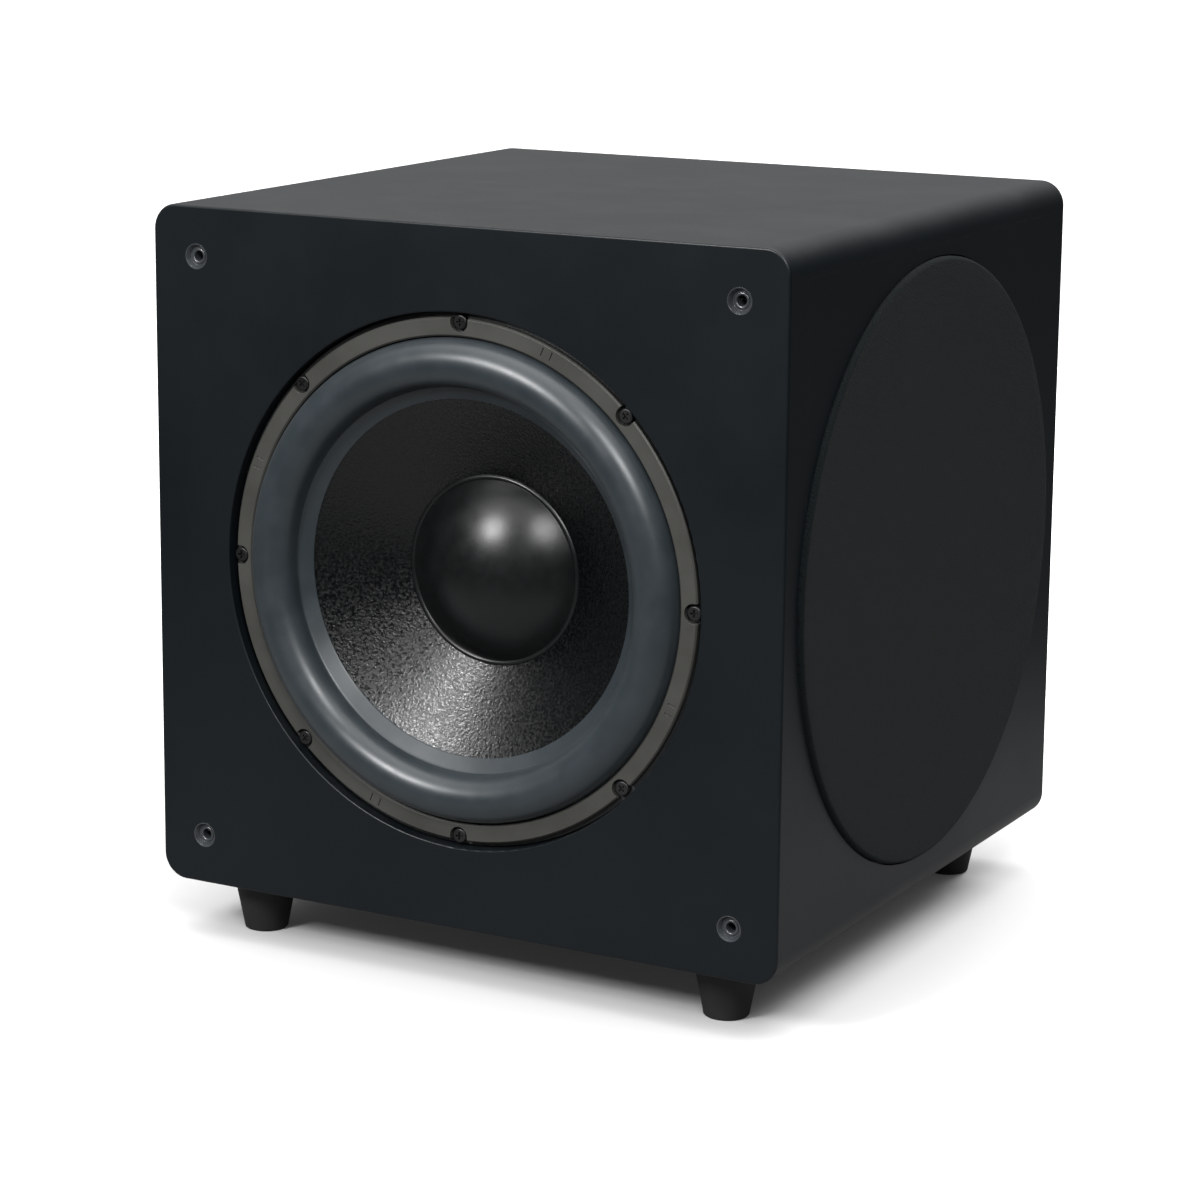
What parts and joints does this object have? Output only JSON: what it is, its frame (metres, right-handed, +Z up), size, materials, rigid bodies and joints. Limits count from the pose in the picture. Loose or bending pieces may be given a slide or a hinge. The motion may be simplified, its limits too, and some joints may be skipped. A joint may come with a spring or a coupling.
{
  "type": "powered subwoofer",
  "caption": "Powered subwoofer cabinet on tapered feet, with a front woofer, a passive radiator behind a round cloth grille in each side, and a rear plate amplifier.",
  "frame": {"origin": "on the floor, under the middle of the whole envelope", "axes": "+Z up, front with the woofer towards -Y, amplifier towards +Y, +X to the right as one looks at the front"},
  "size_m": [0.412, 0.4154, 0.438],
  "materials": {
    "lacquer": "satin black lacquer over fibreboard",
    "raw_board": "raw fibreboard",
    "foot_plastic": "moulded, fine matte grain",
    "socket_plastic": "moulded, smooth",
    "black_steel": "black oxide",
    "black_casting": "cast, black powder coat",
    "gasket_foam": "closed-cell foam",
    "trim_plastic": "moulded, satin grey-black",
    "zinc_steel": "zinc plated",
    "ferrite": "sintered ferrite",
    "rubber": "moulded",
    "terminal_board": "phenolic board with plated tabs",
    "surround_rubber": "butyl, satin",
    "spider_cloth": "resin-stiffened weave",
    "lead_braid": "braided copper",
    "plate_steel": "textured black powder coat",
    "anodised": "extruded, black anodised",
    "nickel": "nickel plated bushings on black bodies",
    "jack_metal": "plated barrel",
    "lens": "clear moulded",
    "inlet_plastic": "moulded black",
    "circuit_board": "solder mask",
    "transformer_wrap": "polyester tape over copper",
    "cable_jacket": "flexible jacket",
    "cone_fibre": "pressed fibre, glossy coat",
    "cap_fibre": "satin",
    "copper": "enamelled copper on a glass-fibre former",
    "grille_plastic": "moulded",
    "grille_cloth": "fine open weave",
    "knob_plastic": "moulded satin"
  },
  "bodies": {
    "cabinet": {"top_panel": "lacquer", "bottom_panel": "lacquer", "left_side_panel": "lacquer", "right_side_panel": "lacquer", "front_baffle": "lacquer", "rear_panel": "lacquer", "window_brace": "raw_board", "foot_front_left": "foot_plastic", "foot_front_right": "foot_plastic", "foot_rear_left": "foot_plastic", "foot_rear_right": "foot_plastic", "foot_screws": "black_steel", "grille_sockets": "socket_plastic", "woofer_basket": "black_casting", "woofer_gasket": "gasket_foam", "woofer_trim_ring": "trim_plastic", "woofer_screws": "black_steel", "woofer_top_plate": "zinc_steel", "woofer_magnets": "ferrite", "woofer_yoke": "zinc_steel", "woofer_magnet_boot": "rubber", "woofer_terminals": "terminal_board", "woofer_surround": "surround_rubber", "woofer_spider": "spider_cloth", "woofer_lead_wires": "lead_braid", "left_radiator_frame": "black_casting", "right_radiator_frame": "black_casting", "left_radiator_surround": "surround_rubber", "right_radiator_surround": "surround_rubber", "radiator_gaskets": "gasket_foam", "radiator_screws": "black_steel", "amp_plate": "plate_steel", "amp_gasket": "gasket_foam", "amp_screws": "black_steel", "amp_heat_sink": "anodised", "amp_controls": "nickel", "line_in_jacks": "jack_metal", "status_light": "lens", "power_inlet": "inlet_plastic", "rocker_housing": "inlet_plastic", "amp_circuit_board": "circuit_board", "amp_transformer": "transformer_wrap", "speaker_cable": "cable_jacket"},
    "woofer_piston": {"woofer_cone": "cone_fibre", "woofer_dust_cap": "cap_fibre", "voice_coil": "copper"},
    "left_radiator": {"left_radiator_cone": "cone_fibre", "left_radiator_weight": "zinc_steel"},
    "right_radiator": {"right_radiator_cone": "cone_fibre", "right_radiator_weight": "zinc_steel"},
    "left_grille": {"left_grille_frame": "grille_plastic", "left_grille_cloth": "grille_cloth"},
    "right_grille": {"right_grille_frame": "grille_plastic", "right_grille_cloth": "grille_cloth"},
    "volume_knob": {"volume_knob": "knob_plastic"},
    "crossover_knob": {"crossover_knob": "knob_plastic"},
    "phase_lever": {"phase_lever": "knob_plastic"},
    "mode_lever": {"mode_lever": "knob_plastic"},
    "power_rocker": {"power_rocker": "inlet_plastic"},
    "fuse_drawer": {"fuse_drawer": "inlet_plastic"}
  },
  "joints": [
    {"name": "woofer_excursion", "type": "slide", "parent": "cabinet", "child": "woofer_piston", "axis": [0, -1, 0], "range_m": [-0.012, 0.012], "stiffness_N_per_m": 4500, "deforming": ["woofer_surround", "woofer_spider", "woofer_lead_wires"]},
    {"name": "left_radiator_excursion", "type": "slide", "parent": "cabinet", "child": "left_radiator", "axis": [-1, 0, 0], "range_m": [-0.012, 0.012], "stiffness_N_per_m": 3000, "deforming": ["left_radiator_surround"]},
    {"name": "right_radiator_excursion", "type": "slide", "parent": "cabinet", "child": "right_radiator", "axis": [1, 0, 0], "range_m": [-0.012, 0.012], "stiffness_N_per_m": 3000, "deforming": ["right_radiator_surround"]},
    {"name": "left_grille_pull", "type": "slide", "parent": "cabinet", "child": "left_grille", "axis": [-1, 0, 0], "range_m": [0, 0.04]},
    {"name": "right_grille_pull", "type": "slide", "parent": "cabinet", "child": "right_grille", "axis": [1, 0, 0], "range_m": [0, 0.04]},
    {"name": "volume_turn", "type": "hinge", "parent": "cabinet", "child": "volume_knob", "pos_m": [-0.036, 0.19225, 0.328], "axis": [0, 1, 0], "range_deg": [-150, 150]},
    {"name": "crossover_turn", "type": "hinge", "parent": "cabinet", "child": "crossover_knob", "pos_m": [-0.084, 0.19225, 0.328], "axis": [0, 1, 0], "range_deg": [-150, 150]},
    {"name": "phase_slide", "type": "slide", "parent": "cabinet", "child": "phase_lever", "axis": [-1, 0, 0], "range_m": [0, 0.004]},
    {"name": "mode_slide", "type": "slide", "parent": "cabinet", "child": "mode_lever", "axis": [-1, 0, 0], "range_m": [0, 0.004]},
    {"name": "power_rock", "type": "hinge", "parent": "cabinet", "child": "power_rocker", "pos_m": [-0.084, 0.19125, 0.161], "axis": [-1, 0, 0], "range_deg": [-18, 0]},
    {"name": "fuse_drawer_slide", "type": "slide", "parent": "cabinet", "child": "fuse_drawer", "axis": [0, 1, 0], "range_m": [0, 0.014]}
  ]
}
